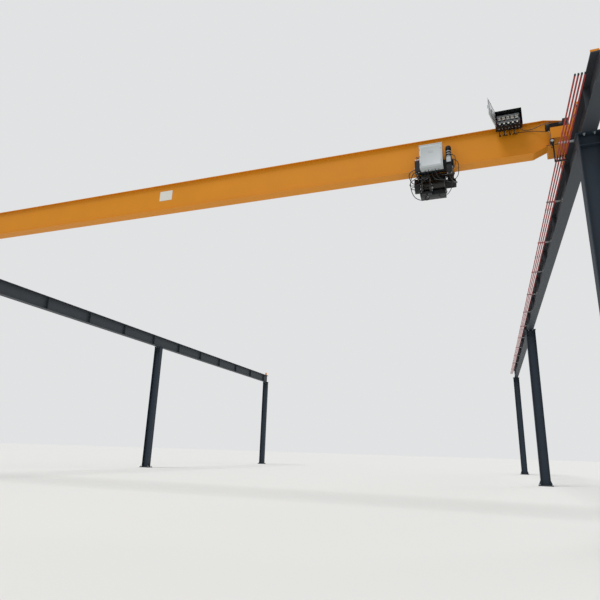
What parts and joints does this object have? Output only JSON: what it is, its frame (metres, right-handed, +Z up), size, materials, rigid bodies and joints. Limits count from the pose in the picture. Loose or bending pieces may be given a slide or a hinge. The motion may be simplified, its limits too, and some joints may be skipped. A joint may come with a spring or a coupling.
{
  "type": "overhead bridge crane",
  "caption": "Top-running overhead bridge crane with a single box girder, a low wire-rope hoist, and its runway of beams on columns.",
  "frame": {"origin": "floor level, at the middle of the object's box", "axes": "+X along the girder towards the hoist's end, +Y along the runway away from the picture's camera, +Z up"},
  "size_m": [24.68, 39.7, 9.93],
  "materials": {
    "crane_paint": "semi-gloss amber yellow enamel",
    "column_paint": "matt blue-grey paint",
    "runway_paint": "matt charcoal paint",
    "machine_black": "satin near-black paint",
    "enclosure_grey": "fine-textured light grey powder coat",
    "rail_steel": "rolled steel, worn bright on top",
    "machined_steel": "machined",
    "rope_steel": "greased wire rope",
    "hook_steel": "forged, painted black",
    "galvanised_steel": "zinc plated",
    "conductor_cover": "red insulating cover",
    "buffer_rubber": "moulded rubber"
  },
  "bodies": {
    "runway": {"left_columns": "column_paint", "right_columns": "column_paint", "base_plates": "column_paint", "left_runway_beam": "runway_paint", "right_runway_beam": "runway_paint", "crane_rails": "rail_steel", "end_stops": "crane_paint", "conductor_bars": "conductor_cover", "conductor_brackets": "galvanised_steel"},
    "bridge": {"girder_top_flange": "crane_paint", "girder_bottom_flange": "crane_paint", "girder_front_web": "crane_paint", "girder_back_web": "crane_paint", "girder_diaphragms": "crane_paint", "girder_end_plates": "crane_paint", "head_boxes": "crane_paint", "left_end_truck": "crane_paint", "right_end_truck": "crane_paint", "truck_wheels": "machined_steel", "truck_buffers": "buffer_rubber", "drive_gearboxes": "machine_black", "drive_motors": "machine_black", "control_cabinet": "machine_black", "cabinet_gear": "galvanised_steel", "limit_switch": "machine_black", "collector_arm": "machine_black"},
    "door": {"cabinet_door": "enclosure_grey"},
    "trolley": {"near_side_plate": "machine_black", "far_side_plate": "machine_black", "trolley_wheels": "machined_steel", "tie_bars": "machined_steel", "control_box": "enclosure_grey", "travel_motor": "machine_black", "cable_box": "machine_black", "drum_frame": "machine_black", "rope_drum": "machined_steel", "drum_rope": "rope_steel", "hoist_gearbox": "machine_black", "hoist_motor": "machine_black", "return_sheave": "machined_steel", "sheave_beam": "machine_black", "rope_anchor": "machine_black", "hoist_ropes": "rope_steel"},
    "block": {"hook_block": "crane_paint", "hook_sheaves": "machined_steel"},
    "hook": {"lifting_hook": "hook_steel"}
  },
  "joints": [
    {"name": "bridge_travel", "type": "slide", "parent": "runway", "child": "bridge", "axis": [0, 1, 0], "range_m": [-1.67, 34.47]},
    {"name": "trolley_travel", "type": "slide", "parent": "bridge", "child": "trolley", "axis": [1, 0, 0], "range_m": [-19.19, 1.85]},
    {"name": "hook_lift", "type": "slide", "parent": "trolley", "child": "block", "axis": [0, 0, 1], "range_m": [-7.2, 0.05], "deforming": ["hoist_ropes"]},
    {"name": "hook_swivel", "type": "hinge", "parent": "block", "child": "hook", "pos_m": [8.401, -16.39565, 8], "axis": [0, 0, 1], "continuous": true},
    {"name": "door_hinge", "type": "hinge", "parent": "bridge", "child": "door", "pos_m": [10.24, -16.84, 9.7], "axis": [0, 0, 1], "range_deg": [-15, 105]}
  ]
}
